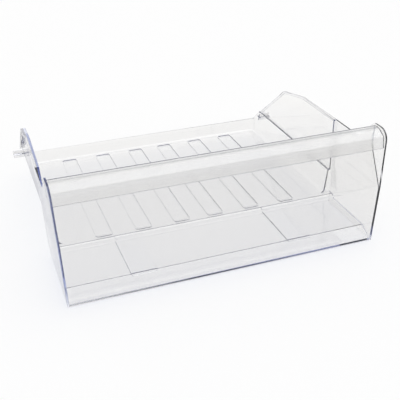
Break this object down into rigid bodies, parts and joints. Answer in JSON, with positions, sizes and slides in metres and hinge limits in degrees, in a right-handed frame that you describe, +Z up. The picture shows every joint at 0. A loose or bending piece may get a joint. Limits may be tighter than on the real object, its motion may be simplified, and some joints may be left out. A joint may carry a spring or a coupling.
{
  "type": "freezer drawer",
  "caption": "Clear moulded freezer drawer with a wide tall front, an overhanging grip along its top, low rear tub with ribbed floor, sloping side walls and stub pins at the back.",
  "frame": {"origin": "centre of the bounding box, at the height of the lower edge of the front", "axes": "+X to the right as seen from the front, -Y out of the front, +Y to the back of the appliance, +Z up"},
  "size_m": [0.4626, 0.386, 0.1675],
  "materials": {
    "clear_plastic": "gloss"
  },
  "bodies": {
    "root": {"drawer": "clear_plastic"}
  },
  "joints": []
}
